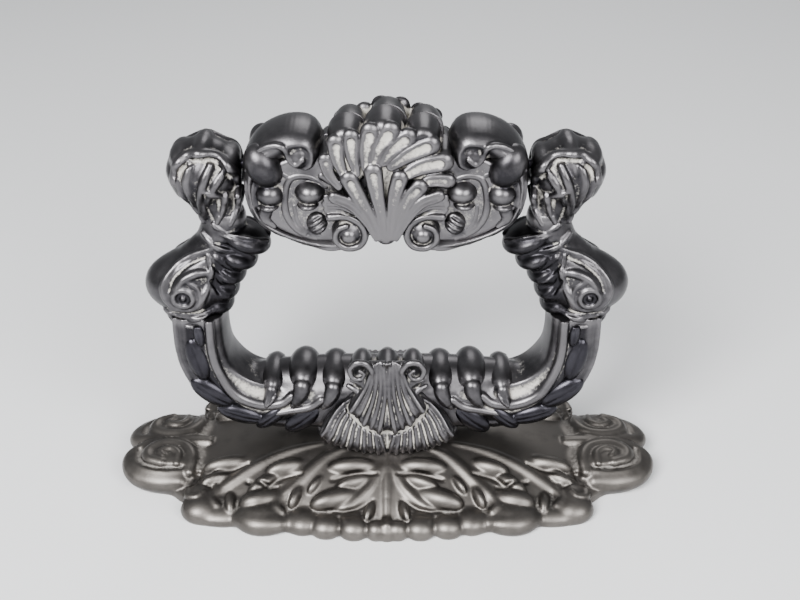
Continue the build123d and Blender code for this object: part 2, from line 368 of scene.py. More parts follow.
def model_base():
    wax = wax_block((76.3, 36, 15.8), 0.36, (0, 0, -0.72))
    x, y, z = np.meshgrid(*wax["axes"], indexing="ij", sparse=True)
    edge = (oval(x, y, 65, 30) - 1) * EDGE_SCALE
    wax["skin"] = np.maximum((z - base_dome(x, y)) * DOME_SCALE, edge).astype(np.float32)
    # end scroll: a round boss with a rolled rim, and a ridge that winds in to its eye
    dome(wax, (61.4, 6.4, 3.2), (12.8, 9.4, 6.2), 1.2)
    coil(wax, [(51, 0.6, 7.6, 1.2), (58, 0.4, 7.0, 2.0), (66, 0.8, 6.4, 2.4), (72.0, 3.4, 4.8, 2.4),
               (72.6, 7.6, 4.2, 2.2), (69.6, 11.8, 3.6, 2.2), (63.6, 14.0, 3.6, 2.2),
               (57.4, 14.4, 4.2, 1.6)], 1.2)
    groove(wax, [(70.2, 4.0, 0.8), (70.0, 8.0, 0.9), (66.8, 11.0, 0.9), (61.6, 12.4, 0.8),
                 (57.2, 12.0, 0.6)], 2, 0.1, 0.8)
    draw(wax, [(55.0, 12.6, 1.3), (54.8, 7.8, 1.7), (57.6, 3.4, 1.8), (63.4, 2.4, 1.8), (67.2, 5.0, 1.6),
               (66.8, 8.6, 1.4), (63.0, 10.6, 1.3)], 2, 0.5, 0.8)
    draw(wax, [(58.6, 11.0, 0.9), (58.6, 7.6, 1.2), (61.0, 5.6, 1.3), (63.6, 6.8, 1.1), (62.6, 8.6, 0.9)],
         2, 0.4, 0.5)
    smear(wax, [(52.4, 2, 8.6, 1.6), (52.0, 6, 8.2, 1.6), (52.4, 10.6, 7.4, 1.4)], 0.5)
    # small scroll at the shoulder, on a dark bulb, at the end of its stem
    dome(wax, (50.4, 23.0, 2.0), (5.6, 5.0, 3.8), 0.9)
    dome(wax, (50.8, 19.6, 3.0), (4.8, 4.6, 3.4), 0.8)
    draw(wax, [(46.2, 21.6, 0.8), (47.2, 17.6, 1.1), (50.8, 16.0, 1.2), (54.2, 18.0, 1.1),
               (54.0, 21.4, 0.9), (51.4, 22.2, 0.8), (50.2, 20.4, 0.7)], 2, 0.3, 0.4)
    # rolled lobe and the lobes round the middle leaf
    dome(wax, (33.4, 25.2, 2.0), (8.2, 7.4, 4.4), 1.4)
    coil(wax, [(26.4, 28.6, 2.0, 1.6), (30, 30.2, 2.4, 2.3), (35, 30.2, 2.4, 2.4), (39.8, 27.6, 2.0, 1.8)],
         0.9)
    for place, size in [
        ((22.4, 28.0, 1.8), (4.2, 4.6, 3.2)), ((16.2, 30.2, 1.8), (4.4, 3.8, 3.2)),
        ((8.8, 31.0, 1.8), (4.2, 3.6, 3.2)), ((2.8, 31.8, 1.8), (3.0, 2.8, 3.0)),
        ((0, 31.6, 1.6), (2.6, 3.2, 3.0)), ((44, 22, 1.4), (12, 7, 3.4)), ((22, 27, 1.6), (9, 5, 3.0)),
    ]:
        dome(wax, place, size, 0.9)
    # rounded lobes of the leaves, broad and low: x, y, length, width, turn and rise
    for lobe in [
        (9.6, 15.4, 14.0, 5.2, 4, 1.9), (8.4, 19.8, 12.0, 4.0, 22, 1.4), (13.6, 23.6, 14.6, 6.0, 20, 2.0),
        (27.6, 14.6, 12.0, 4.8, 18, 1.8), (32.8, 18.6, 12.0, 4.8, 38, 1.7), (34.0, 23.4, 12.0, 6.4, 14, 1.9),
        (44.2, 10.8, 14.0, 5.2, 12, 1.9), (46.6, 15.0, 11.0, 4.4, 30, 1.6), (24.2, 22.6, 3.2, 8.6, -24, 1.4),
        (42.4, 23.0, 3.8, 8.0, 6, 1.4), (19.0, 20.0, 2.8, 7.4, -36, 1.2), (4.4, 26.4, 3.0, 9.0, -16, 1.4),
    ]:
        pillow(wax, *lobe)
    # stems between the leaves, and the small curl beside the middle one
    for stem in [
        [(18, 7.6, 0.4), (27, 9.6, 1.2), (34.9, 12.8, 1.6), (41.2, 16.4, 1.5), (45.6, 19.2, 1.3),
         (47.4, 22.0, 1.0), (45.8, 24.4, 0.7)],
        [(9, 8.6, 0.4), (15.6, 11.6, 1.2), (20.1, 15.5, 1.5), (24.2, 19.6, 1.5), (28.0, 22.8, 1.3),
         (29.6, 25.8, 1.0), (28.0, 27.6, 0.7)],
        [(1.4, 16.2, 0.8), (5.0, 21.9, 1.1), (9.5, 25.4, 1.1), (14.6, 28.0, 0.8)],
        [(0, 9, 1.0), (0, 18, 1.1), (0, 24, 1.0), (0, 28, 0.9), (0, 32.2, 0.8)],
        [(6.9, 29.0, 0.6), (9.1, 27.8, 0.7), (11.6, 28.6, 0.7), (11.0, 30.4, 0.6)],
    ]:
        draw(wax, stem, 2, 0.5, 1.1)
    for crease in [
        [(3, 18.4, 0.5), (9, 18.2, 0.7), (14.8, 19.6, 0.6)],
        [(4, 25.0, 0.4), (10.0, 27.4, 0.5), (15.6, 27.6, 0.5)],
        [(23.4, 17.6, 0.5), (28.4, 18.2, 0.7), (31.6, 20.4, 0.6)],
        [(29.6, 20.6, 0.5), (33.6, 20.6, 0.6), (38.0, 18.2, 0.5)],
        [(38.4, 12.4, 0.6), (43.4, 14.0, 0.7), (49.0, 15.6, 0.6)],
        [(52.4, 13.0, 0.9), (53.4, 16.4, 1.0), (56.4, 18.6, 0.8)],
    ]:
        groove(wax, crease, 2, 0.0, 0.7)
    for pale in [[(27, 7.4, 2.4), (37.6, 6.6, 2.6), (47.8, 5.4, 2.6), (54.2, 5.4, 1.6)],
                 [(8, 10.6, 2.0), (14.6, 9.8, 2.0), (20, 11.8, 1.6)],
                 [(22, 16.4, 1.0), (26, 19.6, 1.0), (30, 22.6, 1.0)],
                 [(36, 12, 1.0), (42, 15.2, 1.0), (46.4, 18, 1.0)]]:
        smear(wax, [(a, b, float(base_dome(a, b)), r) for a, b, r in pale], 0.35)
    # the underside is cored out to a thin shell, and the rim is dressed flat
    core = np.maximum((z - base_dome(x, y) + BASE_WALL) * DOME_SCALE, edge + EDGE_WALL)
    wax["skin"] = np.maximum(np.maximum(wax["skin"], -core), -z).astype(np.float32)
    return wax


fit(cast(model_base(), "base_plate"), base_silver, "tarnished_base_plate", "base_plate")

# ---- Bow ----
# The U-shaped lower casting. Its front and back faces carry a sunk panel between two ribs, and a
# deep cove runs round the inside edge. Its panels are painted darker, nearly black.

# cold grey on the edges, partly rubbed by hands and partly painted highlight, nearly black and glossy
# between them
handle_silver = tarnished_silver_with_painted_light("handle_silver_plate", "666466", "2a292c", "bcb8b0", 0.28, 0.85)


def ribbon(block, points, half_depth, rounding, soften=0.8, crown=0.0):
    """A band as deep as the casting that follows points of x, z and half width. Its edge falls
    away by the crown from the middle to the faces."""
    line = np.insert(flow(points), 1, 0.0, axis=1)
    reach, beyond = 2.0, 9.0
    low = (line[:, :3] - line[:, 3:]).min(0) - reach
    high = (line[:, :3] + line[:, 3:]).max(0) + reach
    low[1], high[1] = 0, half_depth + reach
    cut, (x, y, z) = region(block, low, high)
    band = np.full((x.shape[0], 1, z.shape[2]), beyond, np.float32)
    for a, b in zip(line, line[1:]):
        run = (b - a)[[0, 2]]
        t = np.clip(((x - a[0]) * run[0] + (z - a[2]) * run[1]) / max(float(run @ run), 1e-6), 0, 1)
        away = np.sqrt((x - a[0] - run[0] * t) ** 2 + (z - a[2] - run[1] * t) ** 2)
        band = np.minimum(band, away - (a[3] + (b[3] - a[3]) * t))
    band = band + crown * (y / half_depth) ** 2
    u, v = band + rounding, y - half_depth + rounding
    outside = np.sqrt(np.maximum(u, 0) ** 2 + np.maximum(v, 0) ** 2)
    lump = outside + np.minimum(np.maximum(u, v), 0) - rounding
    work(block, cut, lump.astype(np.float32), soften, False)


def model_bow():
    wax = wax_block((60.5, 12.5, 52.6), 0.36, (0, 0, 14))
    ribbon(wax, [(-4, 24.4, 8), (14, 24.4, 8), (28, 24.6, 7.6), (36, 25.6, 7.2), (42.8, 29.4, 7.1),
                 (47.8, 36.0, 7.0), (49.5, 43, 7.0), (49.6, 54, 7.0)], 8.6, 2.8, 0.5, 1.4)
    coil(wax, [(-3, 0, 28.6, 7.4), (14, 0, 28.6, 7.4), (28, 0, 28.0, 7.0), (38, 0, 27.2, 6.0)], 1.0)
    # cove round the inside edge, widest in the corner, and its second bay beside the middle bead
    coves = [
        [(43.2, 9.6, 55, 1.6), (43.2, 9.7, 45, 1.9), (41.4, 9.8, 38.2, 2.5), (38.0, 10, 33.2, 3.1),
         (33.2, 10.2, 30.8, 3.4), (29.4, 10.2, 31.6, 3.0), (27.6, 10.0, 34.0, 2.2)],
        [(24.6, 10.0, 28.4, 1.6), (21.4, 10.2, 29.6, 2.4), (19.2, 10, 33, 2.4)],
    ]
    for cove in coves:
        coil(wax, cove, 0.3, True)
        # the coves are painted pale: partly dried polish, partly painted reflection of the pale table
        smear(wax, cove, 0.75)
    groove(wax, [(51.0, 56, 2.6), (51.0, 50, 2.6), (50.9, 42, 2.7), (48.9, 34, 2.7), (45.0, 27.4, 2.5),
                 (38.8, 22.8, 2.4), (31, 20.6, 2.0), (22, 20.6, 2.2)], 1, 0.7, 0.5)
    for rib in [
        [(46.3, 56, 1.2), (46.2, 43, 1.3), (44.4, 35.6, 1.4), (40.8, 29.4, 1.6), (35, 26.4, 1.6),
         (29.0, 26.6, 1.5), (25.8, 29.0, 1.2)],
        [(31, 23.2, 0.8), (26.5, 24.2, 1.1), (21, 25.4, 1.2), (17.8, 27.8, 1.2)],
        [(55.6, 55, 0.7), (55.4, 42, 0.8), (53.4, 34.6, 0.8), (49.6, 27.8, 0.8), (45, 22.4, 0.8),
         (37.8, 18.9, 0.8), (28, 17.7, 0.7)],
    ]:
        draw(wax, rib, 1, 0.1, 0.4)
    # the sunk panels are painted darker
    smear(wax, [(51.0, 8, 55, 3.0), (50.9, 8, 42, 3.0), (48.9, 8, 34, 3.0), (45.0, 8, 27.4, 3.0),
                (38.8, 8, 21.8, 3.0), (31, 8, 20, 3.0), (22, 8, 20, 3.0)], -0.5)
    smear(wax, [(48.2, 9.4, 52, 0.9), (47.8, 9.4, 43, 0.9), (46.0, 9.4, 34, 0.9), (42.2, 9.2, 28.0, 1.0),
                (35.6, 9, 24.4, 1.0), (29, 9, 24.4, 1.0), (24, 9, 22.4, 0.9)], 0.35)
    return wax


fit(cast(model_bow(), "bow"), handle_silver, "tarnished_silver_plate", "bow")

# ---- Foot ----
# A plain narrow plinth, cast solid and soldered between the base's saddle and the bow, and located
# by pegs. Only its edges show.


def model_foot():
    wax = wax_block((26, 9, 18.5), 0.5, (0, 0, 12))
    ribbon(wax, [(-4, 14.6, 2.6), (17, 14.6, 2.6)], 6.0, 2.0)
    return wax


fit(cast(model_foot(), "foot"), handle_silver, "tarnished_silver_plate", "foot")

# ---- Gadroon beads ----
# Three beads each side straddle the bow. Each is a smooth egg over the top that narrows to a
# ringed neck and runs out in a tail. They were cast with a fine skin and are nearly black.


def model_gadroons():
    wax = wax_block((38, 12.5, 41.5), 0.3, (8.5, 0, 24))
    for x, r, top in [(22.7, 4.6, 37.3), (14.4, 4.3, 36.5), (31.0, 3.6, 35.1)]:
        middle = top - r
        dome(wax, (x, 0, middle), (1.02 * r, 8.8, r), 0.3)
        for out, down, wide in [(6.6, 1.2, 0.66), (7.2, 0.5, 0.64), (7.7, -0.2, 0.6)]:
            dome(wax, (x + 0.1, out, middle + down), (wide * r, 1.5, 0.5), 0.12, turn=-40, about=0)
        coil(wax, [(x + 0.2, 7.8, middle - 0.8, 0.52 * r), (x + 0.6, 8.2, middle - 2.7, 0.52 * r),
                   (x + 1.7, 8.8, middle - 5.0, 0.36 * r), (x + 3.0, 9.0, middle - 6.6, 0.16 * r)], 0.2)
        smear(wax, [(x + 0.2, 9, middle - 1.6, 0.5 * r), (x + 1.7, 9, middle - 5.0, 0.4 * r)], -0.6)
        coil(wax, [(x - 0.3 * r, 9.3, middle - 1.2, 0.3), (x, 10.2, middle - 2.9, 0.35),
                   (x + 1.6, 10.1, middle - 5.0, 0.25)], 0.1)
        coil(wax, [(x + 0.3 * r, 9.3, middle - 1.2, 0.3), (x + 0.3 * r + 0.4, 9.9, middle - 2.8, 0.35),
                   (x + 1.9, 10.0, middle - 4.9, 0.25)], 0.1)
        smear(wax, [(x - 0.5 * r, 8.6, middle + 1.4, 0.5), (x + 0.5 * r, 8.6, middle + 1.4, 0.5)], 0.3)
    return wax


def both_sides(model, name, material, slot):
    """Cast one side's wax twice: as it is for the right, and left to right for its mirror twin."""
    wax = model()
    for side, flip in (("right", 1), ("left", -1)):
        node_name = f"{side}_{name}"
        fit(cast(wax, node_name, across=(1,), flip=(flip, 1, 1)), material, slot, node_name)


both_sides(model_gadroons, "gadroons", handle_silver, "dark_silver_plate")

# ---- Laurel leaves ----
# Slim pointed leaves, each cast on its own and soldered on to the panels of the bow. They are
# smooth, with one pressed vein, and were never rubbed bright.

# silver plate under an even film of sulphide: nearly black, smooth and with a soft gloss
dark_silver = tarnished_silver_with_painted_light("blackened_silver_plate", "3a393e", "1f1e22", "8a8680", 0.24, 0.4)


def model_leaves():
    wax = wax_block((58, 11.5, 51), 0.3, (17, 5.5, 15))
    for x, z, length, width, turn in [
        (50.2, 40.4, 13.6, 6.0, 76), (49.2, 48.4, 8.4, 3.4, 84), (47.4, 29.8, 13.6, 6.4, 38),
        (40.0, 22.8, 13.4, 5.6, 18), (31.9, 21.8, 10.6, 4.8, -40), (23.2, 21.2, 12.4, 6.2, -40),
    ]:
        dome(wax, (x, 7.7, z), (length / 2, 2.0, width / 2), 0.1, turn=turn)
        c, s = math.cos(math.radians(turn)), math.sin(math.radians(turn))
        vein = [(x + t * length * c, z + t * length * s, 0.3) for t in (-0.38, 0, 0.38)]
        groove(wax, vein, 1, 0.2, 0.3)
    return wax


def both_faces(model, name, material, slot):
    """Cast small applied work four times: on the front and the rear face of each side."""
    wax = model()
    for side, flip in (("right", 1), ("left", -1)):
        for face, out in (("front", -1), ("rear", 1)):
            piece = cast(wax, f"{side}_{name}_{face}", across=(), flip=(flip, out, 1))
            fit(piece, material, slot, f"{side}_{name}")


both_faces(model_leaves, "bow_leaves", dark_silver, "dark_silver_plate")

# ---- Lower shells ----
# A fluted shell hangs from the top of the bow on each face: a narrow wavy one between two small
# volutes, over a wide fan that spreads on to the base. Pale polish has dried in the flutes.


def petal(block, points):
    """A spoon-shaped petal on points of x, y, z and half width: a flat coil whose front stands at
    y, hollowed out inside its rim, with the polish left in the hollow."""
    coil(block, [(x, y - 0.5 * r, z, r) for x, y, z, r in points], 0.12, flat=1.6)
    hollowed = [(x, y + 0.28 * r, z, 0.72 * r) for x, y, z, r in points]
    x, y, z, r = np.array(points[0]) - np.array(points[1])
    shrink = 0.45 * points[0][3] / max(math.hypot(x, z), 0.1)
    hollowed[0] = (points[0][0] - shrink * x, hollowed[0][1], points[0][2] - shrink * z, hollowed[0][3])
    coil(block, hollowed, 0.15, True, 1.6)
    smear(block, [(x, y - 0.3 * r, z, 0.8 * r) for x, y, z, r in hollowed], 0.7)


def flutes(block, tops, tips, middle_shift, radius, sink=0.3):
    """Thin ridges that run from a row of tops to a row of tips in long curves, pale between."""
    for (x0, z0), (x1, z1) in zip(tops, tips):
        bend = ((x0 + x1) / 2 + middle_shift[0], (z0 + z1) / 2 + middle_shift[1])
        draw(block, [(x0, z0, 0.7 * radius), (*bend, radius), (x1, z1, 1.25 * radius)], 1, sink, 0.25)


WHOLE_SHELL_TOP = 41.0
REAR_SHELL_TOP = 31.0  # the rear one is cut short, and its edge is rolled over the bow


def model_lower_shell(top):
    wax = wax_block((20.5, 14.6, 44), 0.28, (0, -6.0, 10.5))
    # the wide fan that spreads on to the base
    ribbon(wax, [(0, 36, 3.0), (0, 28, 7.0), (0, 23, 10)], 9.4, 1.4)
    for x, z, r in [(15.4, 19.0, 3.0), (12.6, 17.2, 2.9), (9.4, 15.8, 2.8), (6.0, 15.0, 2.7),
                    (2.4, 14.4, 2.6)]:
        coil(wax, [(0.55 * x, 8.4, 28, 2.4), (0.85 * x, 9.4, 0.5 * (z + 26), r), (x, 10.8, z, r)], 0.5,
             flat=1.5)
    tips = [(17.6, 18.6), (16.0, 16.9), (14.2, 15.9), (12.4, 15.0), (10.4, 14.2), (8.4, 13.6), (6.4, 13.2),
            (4.4, 12.9), (2.4, 12.7), (0.6, 12.6)]
    flutes(wax, [(6.0 - 0.5 * i, 31.5 - 0.7 * i) for i in range(10)], tips, (1.2, 1.0), 0.55, 0.1)
    for i, (x, z) in enumerate(tips[:-1]):
        pair = ((x + tips[i + 1][0]) / 2, (z + tips[i + 1][1]) / 2)
        smear(wax, [(0.55 * pair[0], 10.2, 24.5, 0.7), (pair[0], 12.0, pair[1] + 1, 0.9)], 0.2)
    # the narrow shell that lies on it, with long curved ridges
    for x, z, r in [(8.4, 27.2, 2.2), (5.6, 23.9, 2.4), (2.2, 21.8, 2.4)]:
        coil(wax, [(0.5 * x, 9.2, 39.4, 1.5), (0.66 * x, 9.8, 0.5 * (z + 38), 0.85 * r), (x, 11.4, z, r)],
             0.5, flat=1.3)
    flutes(wax, [(3.9, 39.6), (3.2, 40.2), (2.4, 40.6), (1.6, 40.8), (0.9, 41.0), (0.1, 41.0)],
           [(9.6, 27.2), (8.0, 25.0), (6.2, 23.0), (4.2, 21.4), (2.2, 20.4), (0.3, 19.8)], (-1.0, 0.0), 0.6,
           0.0)
    groove(wax, [(0, 19.0, 0.8), (3.4, 19.6, 0.8), (6.6, 21.4, 0.8), (9.2, 24.2, 0.8), (11.2, 27.4, 0.6)],
           1, 0.3, 0.3)
    # the small volutes beside its neck
    dome(wax, (6.9, 3.0, 34.6), (3.4, 8.0, 4.2), 0.4)
    dome(wax, (0, 3.0, 34.8), (3.4, 8.0, 4.3), 0.4)
    coil(wax, [(4.6, 10.2, 34.8, 0.6), (4.0, 10.6, 38.2, 0.8), (5.6, 10.6, 40.8, 0.9),
               (8.2, 10.6, 41.0, 0.9), (9.8, 10.6, 38.8, 0.8), (9.0, 10.8, 36.4, 0.7),
               (6.8, 11.0, 36.2, 0.6), (6.0, 11.2, 38.0, 0.5), (7.2, 11.3, 39.0, 0.5)], 0.15)
    coil(wax, [(9.4, 9.4, 34.9, 0.7), (7.0, 10.2, 34.4, 0.8), (5.0, 10.6, 31.8, 0.6)], 0.2)
    coil(wax, [(10.4, 9.2, 32.9, 0.7), (8.4, 10.0, 32.0, 0.8), (6.8, 10.6, 29.6, 0.6)], 0.2)
    smear(wax, [(8.6, 9.6, 36.0, 1.0), (9.8, 9.4, 33.6, 1.0), (9.0, 10, 30.8, 0.9)], 0.4)
    if top < WHOLE_SHELL_TOP:
        z = np.meshgrid(*wax["axes"], indexing="ij", sparse=True)[2]
        wax["skin"] = np.maximum(wax["skin"], z - top).astype(np.float32)
        coil(wax, [(0, 9.4, top - 0.4, 1.2), (4, 9.3, top - 0.6, 1.1), (7.8, 8.8, top - 1.6, 0.9)], 0.4)
    return wax


front_shell = cast(model_lower_shell(WHOLE_SHELL_TOP), "lower_shell_front", across=(0,), flip=(1, -1, 1))
fit(front_shell, handle_silver, "tarnished_silver_plate", "lower_shell_front")
rear_shell = cast(model_lower_shell(REAR_SHELL_TOP), "lower_shell_rear", across=(0,))
fit(rear_shell, handle_silver, "tarnished_silver_plate", "lower_shell_rear")

# ---- Dolphins ----
# Two dolphins hang head down and bite the ends of the bow. Each has a domed forehead, a ringed
# eye, thick lips, and overlapping fins that step down the inside of the loop.


def ring(cx, cz, radius, start, stop, thick):
    """Points of an arc on the face of the handle; angles in degrees from outwards, turning up."""
    angles = np.radians(np.linspace(start, stop, max(4, int(abs(stop - start) / 40) + 1)))
    return [(cx + radius * math.cos(a), cz + radius * math.sin(a), thick) for a in angles]


def model_dolphin():
    wax = wax_block((66, 12.5, 81), 0.34, (26, 0, 46.5))
    # head and forehead, the neck that rises to the tail, the jaws, and the two lips
    dome(wax, (51.9, 0, 60.2), (11.6, 9.9, 8.0), 1.2)
    dome(wax, (51.4, 0, 63.8), (9.8, 9.2, 6.0), 1.8, turn=-34)
    coil(wax, [(46.6, 0, 66.4, 7.2), (43.4, 0, 71.4, 6.2), (41.2, 0, 79, 5.4)], 1.6)
    coil(wax, [(51.6, 0, 57, 7.2), (51.6, 0, 52.4, 6.6)], 1.0)
    dome(wax, (51.4, 0, 54.0), (8.4, 9.0, 2.0), 0.5, turn=4)
    dome(wax, (51.2, 0, 50.6), (7.6, 8.6, 1.9), 0.5, turn=8)
    # the fins, from the top one down
    for centre, size, turn in [
        ((36.4, 0, 73.4), (7.0, 7.4, 3.3), 24), ((38.6, 0, 68.8), (5.6, 7.6, 3.2), 28),
        ((41.2, 0, 64.4), (4.9, 7.4, 3.1), 30), ((43.0, 0, 59.8), (4.6, 7.4, 3.2), 34),
        ((44.8, 0, 55.4), (4.6, 7.2, 2.9), 30),
    ]:
        dome(wax, centre, size, 0.5, turn=turn)
    # raised lines: forehead, brow, cheek and lip, the eye's two rings, and the edges of the fins
    for mark in [
        [(44.5, 72.5, 0.6), (50, 70.2, 0.8), (54.6, 67, 0.8), (57.4, 63, 0.8), (57.0, 59.4, 0.7),
         (55.2, 57, 0.6)],
        [(45.0, 66.2, 0.9), (48.0, 66.6, 1.2), (51.6, 65.2, 1.1), (53.8, 62.8, 0.7)],
        [(45.4, 71, 0.6), (44.8, 67, 0.9), (45.8, 63, 0.9), (47.4, 59.6, 1.0), (48.4, 57, 0.9),
         (51.5, 55.9, 0.8), (56, 56.4, 0.8)],
        [(57.4, 55.2, 1.0), (55.0, 52.6, 1.2), (49.6, 53.2, 1.1), (45.2, 55.0, 0.8)],
        ring(52.2, 60.0, 2.5, -20, 330, 0.8),
        ring(52.0, 60.4, 4.3, 110, 300, 0.5),
        [(43.4, 79, 0.8), (40.4, 76.2, 0.9), (35.4, 75.2, 0.9), (30.6, 73.0, 0.7)],
        [(46.6, 76, 0.8), (42.4, 72.6, 1.0), (37.4, 71.0, 0.9), (34.2, 68.6, 0.7)],
        [(43.4, 70.4, 0.8), (40.6, 67.6, 0.9), (37.8, 65.6, 0.7)],
        [(43.6, 66, 0.7), (42.2, 62.6, 0.9), (39.8, 60.4, 0.7)],
        [(45.0, 62, 0.6), (43.6, 58.4, 0.8), (41.8, 56.2, 0.6)],
    ]:
        draw(wax, mark, 1, 0.25, 0.4)
    # and the lines pressed beside them
    for mark in [
        [(46.4, 70.4, 0.5), (51, 68.4, 0.6), (54.6, 65.2, 0.6), (55.8, 62, 0.5)],
        [(43, 77.4, 0.5), (38, 76.2, 0.6), (32, 74.4, 0.5)],
        [(43.4, 74.4, 0.5), (39, 72.6, 0.6), (35, 70.2, 0.5)],
        [(44.0, 68.4, 0.5), (41.8, 65.4, 0.6), (39, 63.2, 0.5)],
        [(44.8, 64.2, 0.5), (43.2, 60.8, 0.6), (41, 58.6, 0.5)],
        [(57.6, 55.2, 0.5), (52.4, 54.2, 0.6), (46.4, 54.8, 0.5)],
    ]:
        groove(wax, mark)
    # the eye, with its socket painted dark, and painted shade between the fins, which face in towards the
    # loop
    groove(wax, ring(52.2, 60.0, 1.3, 0, 350, 0.7), 1, 0.3, 0.1)
    dome(wax, (52.2, 9.2, 60.0), (0.9, 1.0, 0.9), 0.1)
    smear(wax, [(52.1, 9, 60, 1.8), (52.4, 9, 60.2, 1.8)], -0.7)
    smear(wax, [(30, 4, 74, 5), (36.4, 4, 71, 6), (38.6, 4, 66, 6), (40.4, 4, 60, 6), (42.4, 4, 54, 6)],
          -0.9)
    smear(wax, [(45.6, 9.5, 66, 0.6), (46.8, 9.5, 61, 0.6), (48.2, 9.5, 57, 0.6)], 0.4)
    return wax


both_sides(model_dolphin, "dolphin", handle_silver, "tarnished_silver_plate")

# ---- Dolphin tails ----
# Each tail narrows to a waist and opens in a rounded tuft of leafage at the loop's top corner.
# It is a separate casting, pinned and soldered in place.


def model_tail():
    wax = wax_block((58.5, 12, 103.5), 0.34, (30, 0, 75))
    coil(wax, [(41.4, 0, 75, 5.6), (42.2, 0, 81, 5.2), (43.6, 0, 86, 6.4)], 1.2)
    dome(wax, (45.4, 0, 91.8), (9.4, 8.8, 8.7), 1.6)
    # lobes round the tuft's edge, then the ridges that fan up from the waist
    for x, z, r in [(50.6, 96.6, 2.8), (52.0, 92.4, 2.4), (50.4, 88.2, 2.3), (38.8, 95.4, 2.6),
                    (45, 99.0, 2.4)]:
        dome(wax, (x, 1.0, z), (r, 6.2, r), 0.9)
    for mark in [
        [(36.8, 87, 0.9), (37.4, 93.6, 1.3), (40.8, 97.4, 1.4), (46.2, 98.6, 1.4), (50.8, 96.0, 1.2),
         (52.0, 91.4, 1.0)],
        [(46.0, 79, 0.5), (44.4, 86, 0.9), (41.2, 92, 1.2), (38.8, 94.6, 0.9)],
        [(46.4, 79, 0.5), (46.0, 86, 0.9), (44.4, 92, 1.2), (42.6, 96.0, 0.9)],
        [(46.8, 80, 0.5), (48.0, 87, 0.9), (48.6, 92, 1.2), (47.4, 96.4, 0.9)],
        [(47.2, 82, 0.5), (49.8, 87.6, 0.8), (51.2, 92.4, 0.9)],
        [(39.0, 85.0, 0.6), (41.6, 88.0, 1.0), (44.4, 89.6, 0.7)],
        [(39.6, 87.6, 0.8), (40.8, 83.4, 0.9), (42.6, 79.4, 0.7)],
        [(36.8, 85.6, 0.9), (37.8, 82.2, 1.2), (39.4, 78.8, 0.8)],
    ]:
        draw(wax, mark, 1, 0.1, 0.35)
    for crease in [
        [(38.2, 92, 0.5), (40.2, 96.4, 0.6), (45, 97.6, 0.6), (49.4, 95.4, 0.6), (50.8, 91, 0.5),
         (48.8, 86, 0.4)],
        [(44.4, 89, 0.5), (44.4, 84, 0.5), (43.4, 79, 0.4)],
        [(41.4, 87, 0.5), (41.8, 82, 0.4)],
    ]:
        groove(wax, crease, 1, 0.2, 0.3)
    return wax


both_sides(model_tail, "dolphin_tail", handle_silver, "tarnished_silver_plate")

# ---- Crest bar ----
# A flat bar cast behind the whole crest, which carries all its other pieces on both faces. What
# shows of it is a rough field, packed with pale polish.


def model_bar():
    wax = wax_block((34, 9.5, 104), 0.4, (0, 0, 73))
    ribbon(wax, [(0, 90, 12), (14, 86.6, 11.4), (20, 87.5, 11.0), (25.6, 88, 7.6)], 7.6, 1.2)
    smear(wax, [(12, 7.7, 93, 5.0), (16, 7.7, 84, 6.0), (24, 7.7, 84, 7.0), (26, 7.7, 94, 5.0)], 0.5)
    return wax


fit(cast(model_bar(), "crest_bar"), handle_silver, "tarnished_silver_plate", "crest_bar")

# ---- Crest scrolls ----
# A C-scroll frames each end of the crest. It is one casting as deep as the crest, swept broad over
# the shoulder, with a curled hook at the top and a thin lip along the bottom.


def model_scroll():
    wax = wax_block((38, 11.5, 106.5), 0.32, (2, 0, 71.5))
    ribbon(wax, [(22.4, 96.0, 0.9), (20.6, 94.9, 1.4), (18.3, 96.2, 2.2), (17.9, 99.6, 2.8),
                 (19.8, 102.0, 3.2), (24.6, 101.4, 3.9), (29.6, 98.6, 3.9), (32.9, 93.6, 2.7),
                 (33.3, 87.4, 1.9), (31.4, 81.6, 1.7), (27.0, 78.0, 1.7), (20.6, 75.5, 1.8),
                 (13.6, 74.4, 2.3), (8.2, 75.4, 2.0), (4.8, 78.2, 1.4)], 9.8, 3.0, 0.5, 2.2)
    dome(wax, (21.0, 3.6, 98.6), (4.4, 5.6, 4.6), 0.8)
    for mark in [
        [(34.0, 95, 0.5), (31.4, 99.4, 0.7), (28.0, 101.6, 0.8), (24.6, 101.6, 0.8), (23.4, 98.4, 0.8),
         (21.8, 96.8, 0.7), (20.0, 98.2, 0.6)],
        [(34.2, 92, 0.5), (34.0, 86.6, 0.6), (32.0, 80.8, 0.6), (27.0, 76.9, 0.6), (20.4, 74.4, 0.6),
         (13.4, 73.6, 0.6), (7.8, 74.8, 0.6)],
        [(32.2, 90, 0.5), (32.0, 86.6, 0.6), (30.2, 82.4, 0.6), (26.0, 79.2, 0.6), (20.0, 76.8, 0.6),
         (14, 76.2, 0.6)],
    ]:
        draw(wax, mark, 1, 0.0, 0.25)
    smear(wax, [(26, 9.6, 78, 0.8), (20, 9.6, 75.6, 0.8), (14, 9.6, 74.8, 0.8)], 0.35)
    return wax


both_sides(model_scroll, "crest_scroll", handle_silver, "tarnished_silver_plate")
